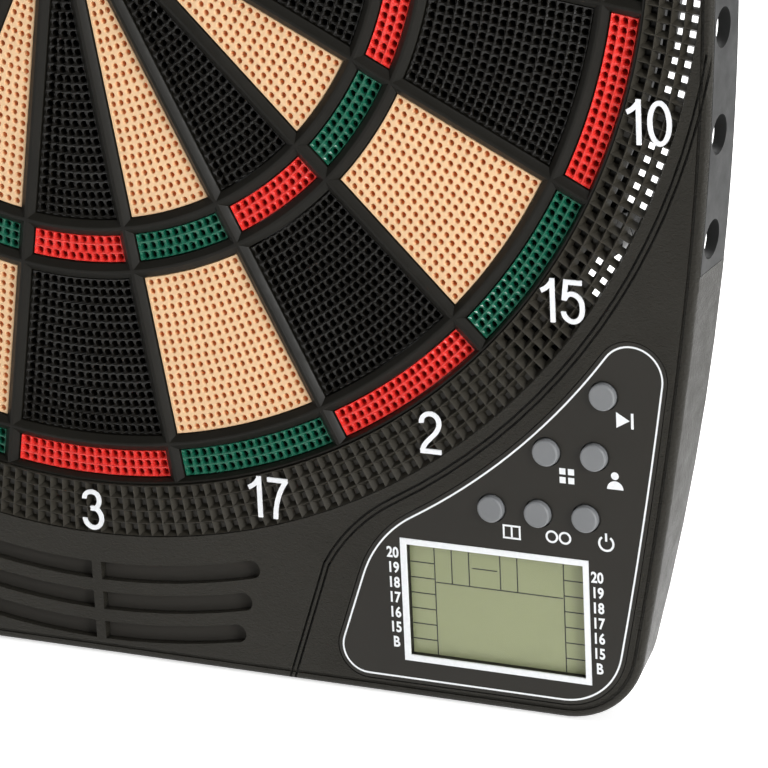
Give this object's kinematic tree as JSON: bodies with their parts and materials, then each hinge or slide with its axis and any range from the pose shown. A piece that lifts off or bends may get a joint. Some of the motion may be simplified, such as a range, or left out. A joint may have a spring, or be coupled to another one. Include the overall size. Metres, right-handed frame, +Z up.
{
  "type": "electronic dartboard",
  "caption": "Wall-hung electronic dartboard: perforated scoring segments in a web, open catch ring with numbers, control panel with display and buttons, side dart holes.",
  "frame": {"origin": "on the axis of the bull, in the plane of the wall", "axes": "+Z up, the board faces -Y, +X to the right seen from the front"},
  "size_m": [0.378, 0.0207, 0.4272],
  "materials": {
    "housing_plastic": "fine leather-like grain, satin",
    "rear_plastic": "fine spark texture",
    "holder_plastic": "smooth satin",
    "numeral_white": "smooth",
    "segment_red": "perforated, satin",
    "segment_green": "perforated, satin",
    "segment_black": "perforated, satin",
    "segment_cream": "perforated, satin",
    "button_grey": "smooth satin",
    "overlay_film": "satin printed film",
    "clear_window": "clear",
    "display_green": "polariser film",
    "foam": "foam",
    "clear_film": "polyester film",
    "backing_board": "smooth",
    "keypad_rubber": "silicone",
    "white_plastic": "smooth",
    "circuit_board": "solder mask",
    "component_black": "moulded packages",
    "screw_steel": "zinc plated",
    "cone_paper": "pressed paper",
    "battery_wrap": "printed sleeve, plain"
  },
  "bodies": {
    "board": {"back_membrane": "clear_film", "backing_plate": "backing_board", "batteries": "battery_wrap", "battery_box": "rear_plastic", "battery_contacts": "screw_steel", "board_components": "component_black", "board_screws": "screw_steel", "catch_ring": "housing_plastic", "control_overlay": "overlay_film", "cover_screws": "screw_steel", "dart_holder_left": "holder_plastic", "dart_holder_right": "holder_plastic", "display_bezel": "numeral_white", "display_connector": "keypad_rubber", "display_glass": "display_green", "display_holder": "white_plastic", "display_window": "clear_window", "foam_mat": "foam", "front_housing": "housing_plastic", "front_membrane": "clear_film", "grille_cloth": "foam", "keypad": "keypad_rubber", "main_board": "circuit_board", "membrane_spacer": "clear_film", "membrane_tail": "clear_film", "numerals": "numeral_white", "rear_cover": "rear_plastic", "speaker_clamp": "rear_plastic", "speaker_cone": "cone_paper", "speaker_frame": "rear_plastic", "speaker_magnet": "screw_steel", "spider_web": "housing_plastic"},
    "double_red": {"double_red": "segment_red"},
    "double_green": {"double_green": "segment_green"},
    "outer_single_black": {"outer_single_black": "segment_black"},
    "outer_single_cream": {"outer_single_cream": "segment_cream"},
    "triple_red": {"triple_red": "segment_red"},
    "triple_green": {"triple_green": "segment_green"},
    "inner_single_black": {"inner_single_black": "segment_black"},
    "inner_single_cream": {"inner_single_cream": "segment_cream"},
    "outer_bull": {"outer_bull": "segment_green"},
    "inner_bull": {"inner_bull": "segment_red"},
    "start_button": {"start_button": "button_grey"},
    "game_button": {"game_button": "button_grey"},
    "player_button": {"player_button": "button_grey"},
    "display_button": {"display_button": "button_grey"},
    "double_button": {"double_button": "button_grey"},
    "power_button": {"power_button": "button_grey"},
    "battery_door": {"battery_door": "rear_plastic"}
  },
  "joints": [
    {"name": "double_red_press", "type": "slide", "parent": "board", "child": "double_red", "axis": [0, 1, 0], "range_m": [0, 0.001], "stiffness_N_per_m": 1500},
    {"name": "double_green_press", "type": "slide", "parent": "board", "child": "double_green", "axis": [0, 1, 0], "range_m": [0, 0.001], "stiffness_N_per_m": 1500},
    {"name": "outer_single_black_press", "type": "slide", "parent": "board", "child": "outer_single_black", "axis": [0, 1, 0], "range_m": [0, 0.001], "stiffness_N_per_m": 1500},
    {"name": "outer_single_cream_press", "type": "slide", "parent": "board", "child": "outer_single_cream", "axis": [0, 1, 0], "range_m": [0, 0.001], "stiffness_N_per_m": 1500},
    {"name": "triple_red_press", "type": "slide", "parent": "board", "child": "triple_red", "axis": [0, 1, 0], "range_m": [0, 0.001], "stiffness_N_per_m": 1500},
    {"name": "triple_green_press", "type": "slide", "parent": "board", "child": "triple_green", "axis": [0, 1, 0], "range_m": [0, 0.001], "stiffness_N_per_m": 1500},
    {"name": "inner_single_black_press", "type": "slide", "parent": "board", "child": "inner_single_black", "axis": [0, 1, 0], "range_m": [0, 0.001], "stiffness_N_per_m": 1500},
    {"name": "inner_single_cream_press", "type": "slide", "parent": "board", "child": "inner_single_cream", "axis": [0, 1, 0], "range_m": [0, 0.001], "stiffness_N_per_m": 1500},
    {"name": "outer_bull_press", "type": "slide", "parent": "board", "child": "outer_bull", "axis": [0, 1, 0], "range_m": [0, 0.001], "stiffness_N_per_m": 1500},
    {"name": "inner_bull_press", "type": "slide", "parent": "board", "child": "inner_bull", "axis": [0, 1, 0], "range_m": [0, 0.001], "stiffness_N_per_m": 1500},
    {"name": "start_button_press", "type": "slide", "parent": "board", "child": "start_button", "axis": [0, 1, 0], "range_m": [0, 0.0008], "stiffness_N_per_m": 400},
    {"name": "game_button_press", "type": "slide", "parent": "board", "child": "game_button", "axis": [0, 1, 0], "range_m": [0, 0.0008], "stiffness_N_per_m": 400},
    {"name": "player_button_press", "type": "slide", "parent": "board", "child": "player_button", "axis": [0, 1, 0], "range_m": [0, 0.0008], "stiffness_N_per_m": 400},
    {"name": "display_button_press", "type": "slide", "parent": "board", "child": "display_button", "axis": [0, 1, 0], "range_m": [0, 0.0008], "stiffness_N_per_m": 400},
    {"name": "double_button_press", "type": "slide", "parent": "board", "child": "double_button", "axis": [0, 1, 0], "range_m": [0, 0.0008], "stiffness_N_per_m": 400},
    {"name": "power_button_press", "type": "slide", "parent": "board", "child": "power_button", "axis": [0, 1, 0], "range_m": [0, 0.0008], "stiffness_N_per_m": 400},
    {"name": "battery_door_hinge", "type": "hinge", "parent": "board", "child": "battery_door", "pos_m": [-0.0979, -0.0007, -0.1905], "axis": [0, 0, -1], "range_deg": [0, 85]}
  ]
}
